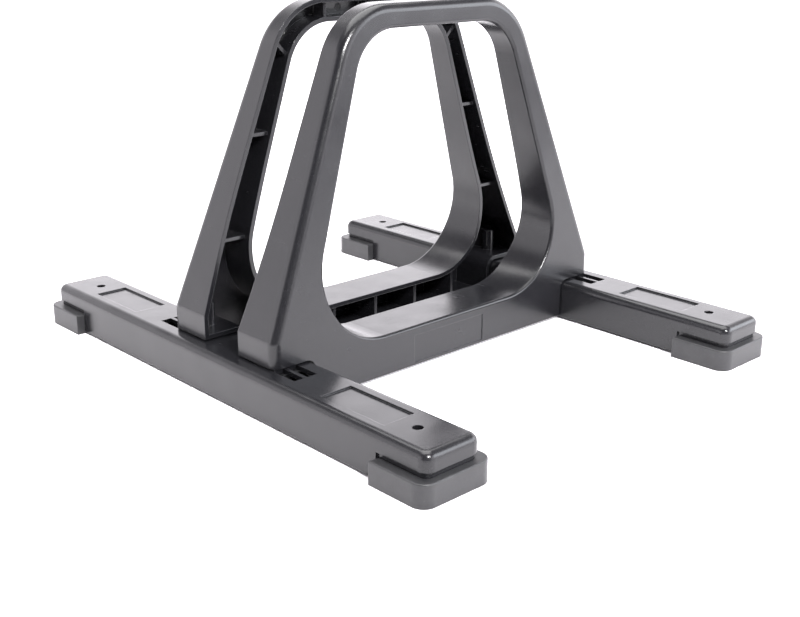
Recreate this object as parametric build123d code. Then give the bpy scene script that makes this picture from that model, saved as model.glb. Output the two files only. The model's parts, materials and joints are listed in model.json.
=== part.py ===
from build123d import *
import math
import os

# Bicycle floor stand: two base rails carry two facing hoops that hold a wheel upright between them.
# Millimetres. X runs along the wheel's plane, Y across it along the rails, +Z up.
# The origin is on the floor at the middle of the stand. The front is -Y and the left is -X.
# Each hoop slides along Y on the rails, clamped from below through slots, to suit the tyre's width.
# The rear hoop (+Y) is modelled and mirrored for the front one.

# Rails
rail_spacing = 241.0
rail_width = 36.0
rail_length = 336.0
rail_top = 24.8
rail_edge_radius = 4.5
rail_corner_radius = 5.5
rail_wall = 2.6
rail_top_thickness = 2.8
rail_rib = 2.0
rail_rib_places = (0.0, 15.5, 64.5, 98.0, 131.6)
rail_end_inset = 1.2
rail_end_step_z = 15.0
rail_end_step_gap = 0.3

recess_start, recess_end = 85.7, 131.6
recess_half_width = 9.8
recess_depth = 1.0

bolt_hole_radius = 2.75
bolt_boss_radius = 6.0
bolt_spacing_y = 288.2

# Feet
sole = 1.2
foot_width = 46.0
foot_length = 36.1
foot_height = 12.2
foot_end = 171.4
foot_corner_radius = 7.5
foot_edge_radius = 0.8
foot_gap = 0.05
peg_radius = 2.4
peg_socket_radius = 2.45
peg_boss_radius = 4.4
peg_top = 8.0
peg_socket_top = 9.0
peg_x, peg_y = 8.5, 160.0
tread_count = 4
tread_inset = 7.0
tread_pitch = 5.0
tread_width = 1.4
tread_half_length = 15.0
tread_depth = 0.5

# Clamps: tabs on the hoops run in slots in the rails, with a plate below and two screws each
tab_start, tab_end = 27.0, 45.0
tab_clearance = 0.5
tab_end_gap = 0.3
slide_in, slide_out = 7.0, 15.0
slot_margin = 2.0
slot_inner, slot_outer = 1.0, 7.4
plate_width, plate_length, plate_thickness = 26.0, 22.0, 2.0
plate_corner_radius = 2.0
plate_hole_radius = 2.1
screw_radius = 1.9
screw_hole_radius = 1.95
screw_length = 18.0
screw_tip_gap = 1.0
screw_stagger = 5.0
screw_head_radius = 3.8
screw_head_height = 2.6
screw_head_round = 1.4
screw_cross_length, screw_cross_width, screw_cross_depth = 3.8, 0.9, 1.2
screw_boss_radius = 3.9
screw_boss_top = 42.0

# Hoops
hoop_foot_half = 128.9
hoop_kink_z = 39.2
hoop_top_half = 63.2
hoop_top = 204.2
hoop_bottom = 2.4
hoop_corner_radius = 38.0
hoop_kink_radius = 5.4
hoop_wall = 2.6
saddle_gap = 0.9
face_base = 46.5
face_top = 34.1
face_bend_radius = 200.0
face_edge_radius = 5.0
back_base = 15.5
back_top = 20.0
back_flare_z = 118.0

# Pads under the saddles that the hoops stand on, measured from the rail's middle line
pad_inner, pad_outer = 9.0, 6.0
pad_setback = 5.0
pad_clearance = 0.03

window_bottom, window_top = 26.0, 191.2
window_bottom_half, window_top_half = 109.0, 54.6
window_bottom_radius, window_top_radius = 42.0, 29.0
window_edge_radius = 1.8

hoop_rib = 2.0
rib_setback = 3.0
leg_rib_heights = (77.0, 133.0)
corner_rib_x, corner_rib_z = 58.0, 171.0
corner_rib_half = 20.0
top_rib_places = (-34.0, 0.0, 34.0)
crossbar_rib_places = (-68.0, -34.0, 0.0, 34.0, 68.0)

# Round marks that the mould's ejector pins leave inside the hoops and under the rails
mark_radius = 2.2
mark_depth = 0.25
leg_mark_heights = (58.0, 105.0, 150.0)
top_mark_places = (-17.0, 17.0)
crossbar_mark_places = (-51.0, -17.0, 17.0, 51.0)
rail_mark_x = 8.0
rail_mark_places = (81.2, 114.8)

panel_half_width = 28.5
panel_bottom, panel_top = 3.8, 20.4
panel_depth = 0.5

# Worked out from the above
rail_x = rail_spacing / 2
rail_half = rail_width / 2
rail_end = rail_length / 2
web_z = rail_top - rail_top_thickness
plate_bottom = web_z - plate_thickness
plate_y = (tab_start + tab_end) / 2
saddle_x = rail_x - rail_half - saddle_gap
saddle_top = rail_top + saddle_gap
slot_start = tab_start - slide_in - slot_margin
slot_end = tab_end + slide_out + slot_margin
slot_middle = (slot_inner + slot_outer) / 2
slot_half = (slot_outer - slot_inner) / 2

# How far a cutting shape runs past what it cuts, and the reach of one that spans the whole stand
overcut = 1.0
beyond = 250.0


def solid_box(x0, x1, y0, y1, z0, z1):
    """A box between two corners."""
    return Pos((x0 + x1) / 2, (y0 + y1) / 2, (z0 + z1) / 2) * Box(x1 - x0, y1 - y0, z1 - z0)


def post(x, y, radius, z0, z1):
    """An upright cylinder."""
    return Pos(x, y, (z0 + z1) / 2) * Cylinder(radius, z1 - z0)


def rounded_block(width, length, radius, z0, z1):
    """An upright block with rounded vertical corners, centred on Z."""
    return Pos(0, 0, z0) * extrude(RectangleRounded(width, length, radius), z1 - z0)


def both_ends(shape):
    """The shape and its copy at the other end of a rail."""
    return shape + mirror(shape, about=Plane.XZ)


def end_block(gap, z0, z1):
    """The rail's narrower core that the feet fit round, made larger all round by a gap."""
    inset = rail_end_inset - gap
    return rounded_block(rail_width - 2 * inset, rail_length - 2 * inset, rail_corner_radius - inset, z0, z1)


def make_rail():
    """A base rail at the middle of X, hollow from below, with ribs, bosses and narrowed ends."""
    rail = rounded_block(rail_width, rail_length, rail_corner_radius, sole, rail_top)
    rail = fillet(rail.faces().sort_by(Axis.Z)[-1].edges(), rail_edge_radius)
    step_start = foot_end - foot_length - rail_end_step_gap
    end_zone = both_ends(solid_box(-beyond, beyond, step_start, beyond, 0, rail_end_step_z))
    rail -= end_zone - end_block(0, 0, rail_end_step_z)

    pocket_half = rail_half - rail_wall
    last_rib = rail_rib_places[-1]
    pockets = solid_box(-pocket_half, pocket_half, -last_rib, last_rib, 0, web_z)
    end_half = pocket_half - rail_end_inset
    end_limit = rail_end - rail_end_inset - rail_wall
    pockets += both_ends(solid_box(-end_half, end_half, last_rib, end_limit, 0, web_z))
    for y in rail_rib_places:
        pockets -= both_ends(solid_box(-rail_half, rail_half, y - rail_rib / 2, y + rail_rib / 2, 0, web_z))
    pockets -= both_ends(post(0, bolt_spacing_y / 2, bolt_boss_radius, 0, web_z))
    for x in (-peg_x, peg_x):
        pockets -= both_ends(post(x, peg_y, peg_boss_radius, 0, web_z))
    rail -= pockets

    above = rail_top + overcut
    for x in (-slot_middle, slot_middle):
        rail -= both_ends(solid_box(x - slot_half, x + slot_half, slot_start, slot_end, 0, above))
        rail -= both_ends(post(math.copysign(peg_x, x), peg_y, peg_socket_radius, 0, peg_socket_top))
    recess = solid_box(-recess_half_width, recess_half_width, recess_start, recess_end, 0, above)
    rail -= both_ends(recess & solid_box(-beyond, beyond, 0, beyond, rail_top - recess_depth, above))
    rail -= both_ends(post(0, bolt_spacing_y / 2, bolt_hole_radius, 0, above))
    for x in (-rail_mark_x, rail_mark_x):
        for y in rail_mark_places:
            rail -= both_ends(post(x, y, mark_radius, web_z - overcut, web_z + mark_depth))
    return rail


def make_foot():
    """A rubber boot for the +Y end of a rail at the middle of X, with two pegs and a grooved sole."""
    boot = rounded_block(foot_width, 2 * foot_end, foot_corner_radius, 0, foot_height)
    boot &= solid_box(-beyond, beyond, foot_end - foot_length, beyond, 0, foot_height)
    boot = fillet(boot.faces().sort_by(Axis.Z)[-1].edges(), foot_edge_radius)
    boot -= end_block(foot_gap, sole, foot_height + overcut)
    for x in (-peg_x, peg_x):
        boot += post(x, peg_y, peg_radius, sole, peg_top)
    boot -= post(0, bolt_spacing_y / 2, bolt_hole_radius, -overcut, foot_height)
    half = tread_width / 2
    for i in range(tread_count):
        y = foot_end - tread_inset - i * tread_pitch
        boot -= solid_box(-tread_half_length, tread_half_length, y - half, y + half, -overcut, tread_depth)
    return boot


def half_outline():
    """Right half of the hoop's outer outline, with a saddle that fits over the rail."""
    arc_x = rail_x - rail_half + rail_edge_radius
    arc_z = rail_top - rail_edge_radius
    arc_radius = rail_edge_radius + saddle_gap
    bottom = Line((0, hoop_bottom), (saddle_x, hoop_bottom))
    side = Line(bottom @ 1, (saddle_x, arc_z))
    saddle = CenterArc((arc_x, arc_z), arc_radius, 180, -90)
    rest = Line(saddle @ 1, (hoop_foot_half, saddle_top))
    upright = Line(rest @ 1, (hoop_foot_half, hoop_kink_z))
    slope = Line(upright @ 1, (hoop_top_half, hoop_top))
    top = Line(slope @ 1, (0, hoop_top))
    return [bottom, side, saddle, rest, upright, slope, top]


def corners_at(sketch, x, z, tolerance=0.5):
    """The sketch's two vertices at a place and its mirror image across X = 0."""
    pair = []
    for vertex in sketch.vertices():
        if abs(abs(vertex.X) - x) < tolerance and abs(vertex.Y - z) < tolerance:
            pair.append(vertex)
    return pair


def outer_sketch():
    """The hoop's whole outer outline, drawn in X and Y."""
    half = half_outline()
    face = make_face(half + [Line(half[-1] @ 1, half[0] @ 0)])
    face = face + mirror(face, about=Plane.YZ)
    face = fillet(corners_at(face, hoop_top_half, hoop_top), hoop_corner_radius)
    return fillet(corners_at(face, hoop_foot_half, hoop_kink_z), hoop_kink_radius)


def window_sketch():
    """The hoop's window, drawn in X and Y."""
    corners = [
        (-window_bottom_half, window_bottom),
        (window_bottom_half, window_bottom),
        (window_top_half, window_top),
        (-window_top_half, window_top),
    ]
    face = make_face(Polyline(corners, close=True))
    face = fillet(corners_at(face, window_top_half, window_top), window_top_radius)
    return fillet(corners_at(face, window_bottom_half, window_bottom), window_bottom_radius)


def upright_prism(sketch):
    """A sketch stood up in the XZ plane and extruded from Y = 0 past the hoop's outer face."""
    return mirror(extrude(Plane.XZ * sketch, face_base + overcut), about=Plane.XZ)


def face_place(z):
    """How far from the wheel's plane the hoop's outer face is at a height."""
    lean = (face_base - face_top) / (hoop_top - hoop_kink_z)
    return face_base - lean * max(0.0, z - hoop_kink_z)


def depth_prism(inset, open_back=False):
    """The hoop's side view, from leaning face to flared back, extruded along X."""
    high_z = hoop_top + overcut
    face_y = face_base - inset
    front = [(face_y, 0), (face_y, hoop_kink_z), (face_place(high_z) - inset, high_z)]
    if open_back:
        sides = [Polyline((0, 0), *front, (0, high_z), close=True)]
    else:
        flare = TangentArc((back_top, back_flare_z), (back_base, hoop_kink_z), tangent=(0, -1))
        sides = [
            Polyline((back_base, hoop_kink_z), (back_base, 0), *front, (back_top, high_z), flare @ 0),
            flare,
        ]
    side_view = fillet(corners_at(make_face(sides), face_y, hoop_kink_z), face_bend_radius)
    return extrude(Plane.YZ * side_view, beyond, both=True)


def hoop_half_width(z):
    """Half the hoop's width at a height on its sloping sides."""
    slope = (hoop_foot_half - hoop_top_half) / (hoop_top - hoop_kink_z)
    return hoop_foot_half - slope * (z - hoop_kink_z)


def window_half_width(z):
    """Half the window's width at a height on its sloping sides."""
    slope = (window_bottom_half - window_top_half) / (window_top - window_bottom)
    return window_bottom_half - slope * (z - window_bottom)


def on_window_edge(point, tolerance=0.5):
    """Whether a point is within the window's outline or on its edge."""
    level = window_bottom - tolerance < point.Z < window_top + tolerance
    return level and abs(point.X) < window_half_width(point.Z) + tolerance


def outer_face_edges(hoop, tolerance=0.3):
    """The edges round the outer face, without the level ones where the face bends back."""
    edges = []
    for edge in hoop.edges():
        start, middle, end = edge @ 0, edge @ 0.5, edge @ 1
        crosses_face = abs(start.Z - end.Z) < tolerance and abs(start.X + end.X) > tolerance
        if not crosses_face and abs(middle.Y - face_place(middle.Z)) < tolerance:
            edges.append(edge)
    return edges


def round_face_edges(hoop, tolerance=0.3):
    """Rounds the outer face's edge above the rails and, less, the window's edge in it."""
    rim = []
    for edge in outer_face_edges(hoop):
        middle = edge @ 0.5
        if middle.Z > saddle_top + tolerance and not on_window_edge(middle):
            rim.append(edge)
    hoop = fillet(rim, face_edge_radius)
    window_rim = [edge for edge in outer_face_edges(hoop) if on_window_edge(edge @ 0.5)]
    return fillet(window_rim, window_edge_radius)


def screw_places(side):
    """Where the two clamp screws of one hoop foot stand, for the rear hoop."""
    return [
        (side * (rail_x - slot_middle), plate_y - screw_stagger),
        (side * (rail_x + slot_middle), plate_y + screw_stagger),
    ]


def hoop_ribs():
    """The walls and screw bosses inside the hoop's channel, longer than they end up."""
    half = hoop_rib / 2
    upper_y = rib_setback + back_top
    lower_y = rib_setback + back_base
    ribs = []
    for z in leg_rib_heights:
        ribs.append(solid_box(-hoop_foot_half, hoop_foot_half, upper_y, face_base, z - half, z + half))
    for x in top_rib_places:
        low_z = window_top - window_top_radius
        ribs.append(solid_box(x - half, x + half, upper_y, face_base, low_z, hoop_top))
    for x in crossbar_rib_places:
        ribs.append(solid_box(x - half, x + half, lower_y, face_base, 0, window_bottom))
    for side in (-1, 1):
        wall = solid_box(-corner_rib_half, corner_rib_half, upper_y, face_base, -half, half)
        ribs.append(Pos(side * corner_rib_x, 0, corner_rib_z) * Rot(0, side * -45, 0) * wall)
        for x, y in screw_places(side):
            ribs.append(post(x, y, screw_boss_radius, saddle_top, screw_boss_top))
            ribs.append(solid_box(x - half, x + half, y, face_base, saddle_top, screw_boss_top))
    return ribs


def hoop_marks():
    """The ejector pins' shallow marks on the floor of the hoop's channel."""
    places = [(x, (window_top + hoop_top) / 2) for x in top_mark_places]
    places += [(x, (window_bottom + hoop_bottom) / 2) for x in crossbar_mark_places]
    for z in leg_mark_heights:
        x = (hoop_half_width(z) + window_half_width(z)) / 2
        places += [(-x, z), (x, z)]
    length = overcut + mark_depth
    marks = []
    for x, z in places:
        y = face_place(z) - hoop_wall + mark_depth - length / 2
        marks.append(Pos(x, y, z) * Rot(90, 0, 0) * Cylinder(mark_radius, length))
    return marks


def make_hoop():
    """The rear hoop: a one-piece channel that is open towards the wheel, with ribs, tabs and bosses."""
    outer = outer_sketch()
    window = window_sketch()
    hoop = round_face_edges(upright_prism(outer - window) & depth_prism(0))
    channel = offset(outer, -hoop_wall) - offset(window, hoop_wall)
    void = upright_prism(channel) & depth_prism(hoop_wall, open_back=True)
    for rib in hoop_ribs():
        void -= rib
    for mark in hoop_marks():
        void += mark
    hoop -= void

    tab_half = slot_half - tab_clearance
    tab_bottom = web_z + tab_end_gap
    hole_top = plate_bottom + screw_length + screw_tip_gap
    inside = saddle_top + overcut
    for side in (-1, 1):
        pad_x = sorted((side * (rail_x - pad_inner), side * (rail_x + pad_outer)))
        pad_y = (back_base + pad_setback, face_base - pad_setback)
        hoop += solid_box(*pad_x, *pad_y, rail_top + pad_clearance, inside)
        for x in (side * rail_x - slot_middle, side * rail_x + slot_middle):
            hoop += solid_box(x - tab_half, x + tab_half, tab_start, tab_end, tab_bottom, inside)
        for x, y in screw_places(side):
            hoop -= post(x, y, screw_hole_radius, web_z, hole_top)
    panel_y = face_base - panel_depth
    hoop -= solid_box(-panel_half_width, panel_half_width, panel_y, beyond, panel_bottom, panel_top)
    return hoop


def make_clamp_plate(side):
    """The steel plate under the rail's top at one foot of the rear hoop."""
    plate = rounded_block(plate_width, plate_length, plate_corner_radius, plate_bottom, web_z)
    plate = Pos(side * rail_x, plate_y, 0) * plate
    for x, y in screw_places(side):
        plate -= post(x, y, plate_hole_radius, 0, rail_top)
    return plate


def make_clamp_screw(x, y):
    """A pan-head screw, head down, with a cross recess."""
    head_bottom = plate_bottom - screw_head_height
    head = post(x, y, screw_head_radius, head_bottom, plate_bottom)
    head = fillet(head.edges().sort_by(Axis.Z)[0], screw_head_round)
    screw = head + post(x, y, screw_radius, plate_bottom, plate_bottom + screw_length)
    for angle in (45, 135):
        blade = Rot(0, 0, angle) * Box(screw_cross_length, screw_cross_width, 2 * screw_cross_depth)
        screw -= Pos(x, y, head_bottom) * blade
    return screw


def write(name, shape):
    """Writes one sub-part to its own STEP file."""
    export_step(shape, f"parts/{name}.step")


def write_both(name, rear_shape):
    """Writes a rear sub-part and its mirror image at the front."""
    write(f"rear_{name}", rear_shape)
    write(f"front_{name}", mirror(rear_shape, about=Plane.XZ))


def main():
    os.makedirs("parts", exist_ok=True)
    rail = make_rail()
    foot = make_foot()
    for side_name, side in (("left", -1), ("right", 1)):
        beside = Pos(side * rail_x, 0, 0)
        write(f"{side_name}_rail", beside * rail)
        write_both(f"{side_name}_foot", beside * foot)
        write_both(f"{side_name}_clamp_plate", make_clamp_plate(side))
    write_both("hoop", make_hoop())

    places = screw_places(-1) + screw_places(1)
    write("rear_clamp_screws", Compound(children=[make_clamp_screw(x, y) for x, y in places]))
    write("front_clamp_screws", Compound(children=[make_clamp_screw(x, -y) for x, y in places]))


main()
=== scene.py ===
import json
import math

import bpy
from mathutils import Matrix, Vector


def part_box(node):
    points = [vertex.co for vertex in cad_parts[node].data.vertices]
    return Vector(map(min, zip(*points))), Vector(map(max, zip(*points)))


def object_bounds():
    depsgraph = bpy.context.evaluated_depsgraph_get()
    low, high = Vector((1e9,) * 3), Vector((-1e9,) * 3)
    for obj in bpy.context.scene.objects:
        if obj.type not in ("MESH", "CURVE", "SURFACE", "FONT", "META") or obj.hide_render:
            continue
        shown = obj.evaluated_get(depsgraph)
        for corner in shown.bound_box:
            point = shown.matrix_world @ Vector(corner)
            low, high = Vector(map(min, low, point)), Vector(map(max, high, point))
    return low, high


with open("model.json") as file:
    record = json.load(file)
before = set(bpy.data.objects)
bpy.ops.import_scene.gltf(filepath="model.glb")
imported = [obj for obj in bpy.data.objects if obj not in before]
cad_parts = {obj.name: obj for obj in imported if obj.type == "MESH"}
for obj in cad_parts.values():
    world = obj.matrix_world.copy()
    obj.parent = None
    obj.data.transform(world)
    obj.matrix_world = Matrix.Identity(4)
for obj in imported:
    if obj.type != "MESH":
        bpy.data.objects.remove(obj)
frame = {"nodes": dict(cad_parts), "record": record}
cad_low, cad_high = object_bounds()

# The camera, in metres and degrees: yaw turns from +Y towards +X, and pitch is below 0 looking down
camera_place = (-0.4578, -0.4897, 0.2474)
camera_yaw, camera_pitch, camera_roll = 43.29, -18.85, 0.31
# Focal length and sensor width, in millimetres
camera_lens, sensor_width = 51.76, 36.0

# The floor reaches this far each way. Its paint is dull
floor_half = 60.0
floor_colour = (0.87, 0.852, 0.877)
floor_roughness, floor_specular = (0.7, 0.8), 0.2
# The floor's own light: its colour and strength, weaker near the object. There is none under the rails
glow_colour = (1.01, 0.985, 1.02)
floor_glow = 1.05
near_object, near_glow = (0.2, 0.7), 0.5
# The floor's paint and light both fall off towards the front left, over this reach, to this share: the darker
# paint is painted shade
shade_side = (-0.5, -0.86, 0.0)
shade_reach, shade = (0.15, 0.45), 0.5

# The room's light, and the least that the camera sees of it as a backdrop
sweep_colour = (0.985, 0.955, 1.0)
sweep_radiance, backdrop_seen = 3.1, 1.2
# The room dims overhead, towards the camera's side and towards the back left. Each fade is given as
# the cosines between which it sets in, and each dim is the share of the light that is left
sky_fade, sky_dim = (0.47, 0.60), 0.13
camera_side = (-0.68, -0.66, 0.36)
camera_fade, camera_dim = (0.48, 0.82), 0.08
dark_side = (-0.55, 0.80, 0.28)
dark_fade, dark_dim = (0.88, 0.97), 0.65

# The area lights: direction from the object, distance, width and height in metres, watts and colour
white, daylight = (1.0, 1.0, 1.0), (0.86, 0.93, 1.0)
soft_boxes = {
    "overhead_box": ((0.1, 0.15, 1), 1.9, (2.0, 2.0), 60, white),
    "window_box": ((0.69, -0.63, 0.33), 2.0, (1.4, 0.8), 15, daylight),
    "key_box": ((-0.25, -0.75, 0.6), 1.5, (0.3, 0.25), 30, white),
}

# The finishes' colours
rail_black = (0.012, 0.012, 0.014)
hoop_black = (0.011, 0.011, 0.013)
rubbed_grey = (0.034, 0.034, 0.038)
rubber_black, rubber_dust = (0.022, 0.022, 0.024), (0.036, 0.036, 0.038)
coat_black, bare_steel = (0.016, 0.016, 0.017), (0.2, 0.2, 0.21)
zinc, zinc_tint = (0.66, 0.66, 0.66), (0.58, 0.57, 0.52)
# How the screws' drawn lines are stretched: along their shanks
along_z = (1, 1, 0.08)

# Sharp edges are rounded in the shading. The edge mask starts and is full at these cosines between the
# rounded and the true normal
bevel_samples = 6
edge_cosines = (0.995, 0.93)

# Noise averages 0.5. A pattern grows from 0 to 1 between two cuts through it: these are the common ones
most, middle = (0.3, 0.7), (0.35, 0.65)


def scaled(colour, factor):
    return tuple(factor * c for c in colour)


class Nodes:
    """A node tree, with short calls for the nodes that materials and the world share."""

    def __init__(self, tree):
        self.tree = tree

    def add(self, kind, **settings):
        node = self.tree.nodes.new(kind)
        for key, value in settings.items():
            setattr(node, key, value)
        return node

    def link(self, source, target):
        self.tree.links.new(source, target)

    def remap(self, value, cut, to=(0.0, 1.0)):
        """Takes the range between two cuts to another range, and holds it beyond them."""
        node = self.add("ShaderNodeMapRange")
        self.link(value, node.inputs["Value"])
        for socket, number in zip(("From Min", "From Max", "To Min", "To Max"), (*cut, *to)):
            node.inputs[socket].default_value = number
        return node.outputs["Result"]

    def maths(self, operation, first, second=0.0):
        """One operation on two values, each a socket or a plain number."""
        node = self.add("ShaderNodeMath", operation=operation)
        for socket, value in zip(node.inputs, (first, second)):
            if isinstance(value, (int, float)):
                socket.default_value = value
            else:
                self.link(value, socket)
        return node.outputs["Value"]


class Finish(Nodes):
    """A material with a Principled shader."""

    def __init__(self, name):
        self.material = bpy.data.materials.new(name)
        self.material.use_nodes = True
        super().__init__(self.material.node_tree)
        self.tree.nodes.clear()
        self.shader = self.add("ShaderNodeBsdfPrincipled")
        output = self.add("ShaderNodeOutputMaterial")
        self.link(self.shader.outputs["BSDF"], output.inputs["Surface"])
        self.place = self.add("ShaderNodeTexCoord").outputs["Object"]

    def drive(self, socket, source):
        """Links a value that varies over the surface to the shader."""
        self.link(source, self.shader.inputs[socket])

    def fix(self, socket, value):
        """Sets a value that is the same all over on the shader itself."""
        self.shader.inputs[socket].default_value = value

    def noise(self, size, detail=2.0, roughness=0.5, stretch=(1, 1, 1), distortion=0.0):
        """Noise whose features are about size metres across, drawn out along axes stretched below 1."""
        mapping = self.add("ShaderNodeMapping")
        self.link(self.place, mapping.inputs["Vector"])
        mapping.inputs["Scale"].default_value = stretch
        node = self.add("ShaderNodeTexNoise")
        self.link(mapping.outputs["Vector"], node.inputs["Vector"])
        node.inputs["Scale"].default_value = 1 / size
        node.inputs["Detail"].default_value = detail
        node.inputs["Roughness"].default_value = roughness
        node.inputs["Distortion"].default_value = distortion
        return node.outputs["Fac"]

    def pattern(self, size, cut, to=(0.0, 1.0), **settings):
        """Noise between two cuts, taken to a range."""
        return self.remap(self.noise(size, **settings), cut, to)

    def measure(self, operation, axis=(0, 0, 0)):
        """How far a point is from the origin, or how far it reaches along an axis, in metres."""
        node = self.add("ShaderNodeVectorMath", operation=operation)
        self.link(self.place, node.inputs[0])
        node.inputs[1].default_value = axis
        return node.outputs["Value"]

    def blend(self, factor, first, second):
        """A colour between two, each a socket or a plain colour."""
        node = self.add("ShaderNodeMix", data_type="RGBA")
        self.link(factor, node.inputs["Factor"])
        for socket, value in ((node.inputs["A"], first), (node.inputs["B"], second)):
            if isinstance(value, tuple):
                socket.default_value = (*value, 1.0)
            else:
                self.link(value, socket)
        return node.outputs["Result"]

    def bump(self, height, depth, normal, strength=1.0):
        """A normal with relief of this depth, in metres, on top of another normal."""
        node = self.add("ShaderNodeBump")
        self.link(height, node.inputs["Height"])
        self.link(normal, node.inputs["Normal"])
        node.inputs["Distance"].default_value = depth
        node.inputs["Strength"].default_value = strength
        return node.outputs["Normal"]

    def soft_edges(self, radius):
        """A normal that rounds sharp edges, and a mask that is 1 along them."""
        bevel = self.add("ShaderNodeBevel", samples=bevel_samples)
        bevel.inputs["Radius"].default_value = radius
        facing = self.add("ShaderNodeVectorMath", operation="DOT_PRODUCT")
        self.link(bevel.outputs["Normal"], facing.inputs[0])
        self.link(self.add("ShaderNodeNewGeometry").outputs["Normal"], facing.inputs[1])
        return bevel.outputs["Normal"], self.remap(facing.outputs["Value"], edge_cosines)


def moulded_plastic(name, colour, roughness, grain):
    """Satin moulded plastic: fine spark-eroded grain, slight sink, uneven sheen and rubbed edges."""
    n = Finish(name)
    edge_normal, edges = n.soft_edges(radius=0.0005)
    cloud = n.pattern(size=0.045, cut=most, detail=3)
    tone = n.blend(cloud, scaled(colour, 0.88), colour)
    fleck = n.pattern(size=0.0011, cut=(0.60, 0.78), to=(0.0, 0.35))
    tone = n.blend(fleck, tone, rubbed_grey)
    rubbing = n.pattern(size=0.004, cut=middle, to=(0.15, 0.9), detail=4)
    n.drive("Base Color", n.blend(n.maths("MULTIPLY", edges, rubbing), tone, rubbed_grey))

    spread = (roughness - 0.035, roughness + 0.045)
    handled = n.pattern(size=0.016, cut=most, to=spread, detail=5, roughness=0.6)
    hairlines = n.pattern(size=0.0009, cut=(0.69, 0.76), to=(0.0, 0.04), stretch=(1, 0.05, 1), distortion=0.4)
    sheen = n.maths("ADD", handled, hairlines)
    polished_edges = n.maths("MULTIPLY", edges, 0.08)
    n.drive("Roughness", n.maths("SUBTRACT", sheen, polished_edges))

    sink = n.bump(n.noise(size=0.030, detail=1), depth=0.00035, normal=edge_normal)
    stipple = n.noise(size=grain, detail=3, roughness=0.6)
    n.drive("Normal", n.bump(stipple, depth=0.00003, strength=0.55, normal=sink))
    return n.material


def rubber(name, colour, dusty):
    """Matte rubber: blotchy bloom, fine pitting and dust that gathers on edges."""
    n = Finish(name)
    edge_normal, edges = n.soft_edges(radius=0.0006)
    bloom = n.pattern(size=0.012, cut=(0.35, 0.68), detail=5, roughness=0.65)
    tone = n.blend(bloom, colour, dusty)
    speck = n.pattern(size=0.0012, cut=(0.66, 0.74), to=(0.0, 0.6), detail=3)
    tone = n.blend(speck, tone, scaled(dusty, 1.5))
    n.drive("Base Color", n.blend(n.maths("MULTIPLY", edges, 0.5), tone, dusty))
    n.drive("Roughness", n.remap(bloom, cut=(0, 1), to=(0.36, 0.46)))
    pits = n.noise(size=0.0009, detail=4, roughness=0.7)
    n.drive("Normal", n.bump(pits, depth=0.00006, strength=0.8, normal=edge_normal))
    return n.material


def zinc_plate(name, colour, tint, lay):
    """Zinc-plated steel: drawn lines along one axis, passivation tints and dull patches."""
    n = Finish(name)
    edge_normal, edges = n.soft_edges(radius=0.0003)
    patches = n.pattern(size=0.006, cut=middle, detail=4)
    tone = n.blend(patches, colour, tint)
    n.drive("Base Color", n.blend(edges, tone, scaled(colour, 1.15)))
    lines = n.noise(size=0.0006, detail=3, stretch=lay)
    n.drive("Roughness", n.remap(lines, cut=most, to=(0.28, 0.44)))
    n.drive("Normal", n.bump(lines, depth=0.00002, strength=0.7, normal=edge_normal))
    n.fix("Metallic", 1.0)
    return n.material


def coated_steel(name, coat, bare):
    """Black coated steel: an even coat with a fine peel, thin dusty patches and scuffs to bare metal."""
    n = Finish(name)
    edge_normal, edges = n.soft_edges(radius=0.0003)
    dusty = n.pattern(size=0.005, cut=(0.45, 0.72), to=(0.0, 0.5), detail=4)
    tone = n.blend(dusty, coat, scaled(coat, 1.8))
    scuffs = n.pattern(size=0.0022, cut=(0.66, 0.73), detail=5, roughness=0.65, stretch=(1, 0.3, 1))
    chips = n.maths("MULTIPLY", edges, n.pattern(size=0.0016, cut=(0.45, 0.6), detail=4))
    worn = n.maths("MINIMUM", n.maths("ADD", chips, n.maths("MULTIPLY", scuffs, 0.1)), 1.0)
    n.drive("Base Color", n.blend(worn, tone, bare))
    n.drive("Metallic", n.remap(worn, cut=(0, 1), to=(0.0, 0.9)))
    n.drive("Roughness", n.pattern(size=0.003, cut=most, to=(0.34, 0.48), detail=4, roughness=0.6))
    n.drive("Normal", n.bump(n.noise(size=0.0008), depth=0.00003, strength=0.7, normal=edge_normal))
    return n.material


def dress_nodes():
    """Gives every CAD node the finish of its material slot."""
    finishes = {
        "rail_plastic": moulded_plastic("rail_plastic_finish", rail_black, roughness=0.22, grain=0.0006),
        "hoop_plastic": moulded_plastic("hoop_plastic_finish", hoop_black, roughness=0.23, grain=0.0005),
        "foot_rubber": rubber("foot_rubber_finish", rubber_black, rubber_dust),
        "clamp_steel": coated_steel("clamp_steel_finish", coat_black, bare_steel),
        "screw_steel": zinc_plate("screw_steel_finish", zinc, zinc_tint, lay=along_z),
    }
    slots = {part["node"]: part["material_slot"] for part in frame["record"]["subparts"]}
    for name, node in frame["nodes"].items():
        for holder in node.material_slots:
            holder.material = finishes[slots[name]]


def outside(n, low, high):
    """A mask that is 0 on the floor below a box and 1 elsewhere."""
    far = []
    for axis in range(2):
        along = n.measure("DOT_PRODUCT", [float(i == axis) for i in range(3)])
        offset = n.maths("SUBTRACT", along, (low[axis] + high[axis]) / 2)
        half = (high[axis] - low[axis]) / 2
        far.append(n.maths("GREATER_THAN", n.maths("ABSOLUTE", offset), half))
    return n.maths("MAXIMUM", *far)


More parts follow.
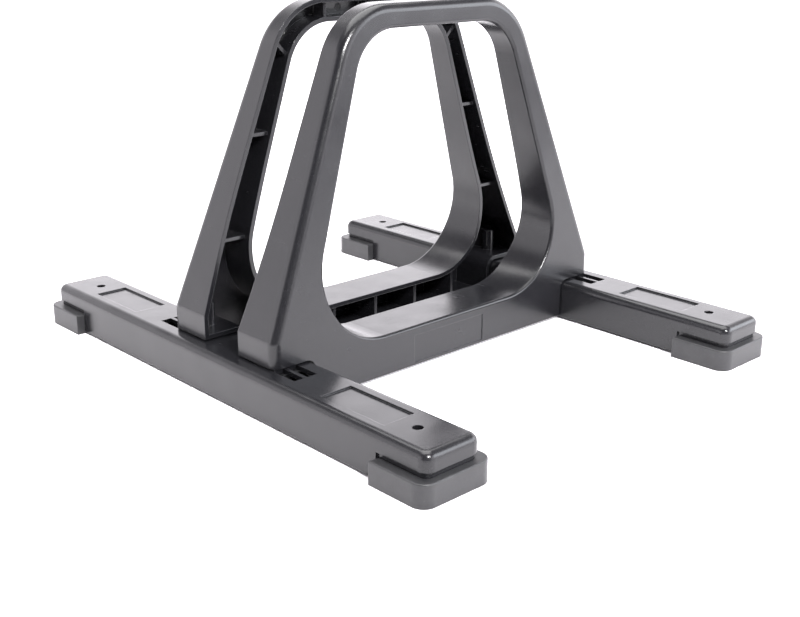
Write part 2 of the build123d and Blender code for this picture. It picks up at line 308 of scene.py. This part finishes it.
def make_floor():
    """A wide pale floor with a light of its own that keeps it white. Its paint darkens towards the front left
    as painted shade.
    """
    bpy.ops.mesh.primitive_plane_add(size=2 * floor_half)
    floor = bpy.context.object
    floor.name = "studio_floor"
    n = Finish("floor_paint")
    open_floor = n.remap(n.measure("DOT_PRODUCT", shade_side), shade_reach, to=(1.0, 0.0))
    # The paint darkens towards the front left: painted shade
    n.drive("Base Color", n.blend(open_floor, scaled(floor_colour, shade), floor_colour))
    n.drive("Roughness", n.pattern(size=0.3, cut=most, to=floor_roughness, detail=3))
    n.fix("Specular IOR Level", floor_specular)
    n.fix("Emission Color", (*glow_colour, 1.0))
    away = n.remap(n.measure("LENGTH"), near_object, to=(near_glow, floor_glow))
    glow = n.maths("MULTIPLY", away, n.remap(open_floor, cut=(0.0, 1.0), to=(shade, 1.0)))
    for rail in ("left_rail", "right_rail"):
        glow = n.maths("MULTIPLY", glow, outside(n, *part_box(rail)))
    n.drive("Emission Strength", glow)
    floor.data.materials.append(n.material)


class Room(Nodes):
    """The world, whose light depends on the direction it comes from."""

    def __init__(self, world):
        world.use_nodes = True
        super().__init__(world.node_tree)
        self.background = self.tree.nodes["Background"]
        self.direction = self.add("ShaderNodeTexCoord").outputs["Generated"]

    def dimmed(self, axis, fade, dim):
        """1, falling to dim for directions that come close to an axis."""
        dot = self.add("ShaderNodeVectorMath", operation="DOT_PRODUCT")
        self.link(self.direction, dot.inputs[0])
        dot.inputs[1].default_value = Vector(axis).normalized()
        return self.remap(dot.outputs["Value"], fade, to=(1.0, dim))


def light_room():
    """A white sweep that dims overhead, on the camera's side and at the back left."""
    world = bpy.data.worlds.new("studio")
    bpy.context.scene.world = world
    n = Room(world)
    low_sky = n.dimmed((0, 0, 1), sky_fade, sky_dim)
    off_camera = n.dimmed(camera_side, camera_fade, camera_dim)
    off_dark = n.dimmed(dark_side, dark_fade, dark_dim)
    sides = n.maths("MULTIPLY", off_camera, off_dark)
    radiance = n.maths("MULTIPLY", n.maths("MULTIPLY", low_sky, sides), sweep_radiance)
    seen = n.add("ShaderNodeLightPath").outputs["Is Camera Ray"]
    backdrop = n.maths("MULTIPLY", seen, backdrop_seen)
    n.link(n.maths("MAXIMUM", radiance, backdrop), n.background.inputs["Strength"])
    n.background.inputs["Color"].default_value = (*sweep_colour, 1.0)


def hang_soft_box(name, direction, distance, size, power, colour):
    """An area light in a direction from the object, aimed at its middle, that the camera doesn't see."""
    middle = (cad_low + cad_high) / 2
    light = bpy.data.lights.new(name, "AREA")
    light.shape = "RECTANGLE"
    light.size, light.size_y = size
    light.energy = power
    light.color = colour
    lamp = bpy.data.objects.new(name, light)
    lamp.location = middle + Vector(direction).normalized() * distance
    lamp.visible_camera = False
    lamp.rotation_euler = (middle - lamp.location).to_track_quat("-Z", "Y").to_euler()
    bpy.context.scene.collection.objects.link(lamp)


def make_camera():
    data = bpy.data.cameras.new("camera")
    data.sensor_width = sensor_width
    data.lens = camera_lens
    camera = bpy.data.objects.new("camera", data)
    turn = Matrix.Rotation(math.radians(-camera_yaw), 4, "Z")
    tip = Matrix.Rotation(math.radians(90 + camera_pitch), 4, "X")
    roll = Matrix.Rotation(math.radians(camera_roll), 4, "Z")
    camera.matrix_world = Matrix.Translation(camera_place) @ turn @ tip @ roll
    bpy.context.scene.collection.objects.link(camera)
    bpy.context.scene.camera = camera


bpy.context.scene.view_settings.view_transform = "Standard"
make_camera()
make_floor()
light_room()
for box_name, settings in soft_boxes.items():
    hang_soft_box(box_name, *settings)
dress_nodes()
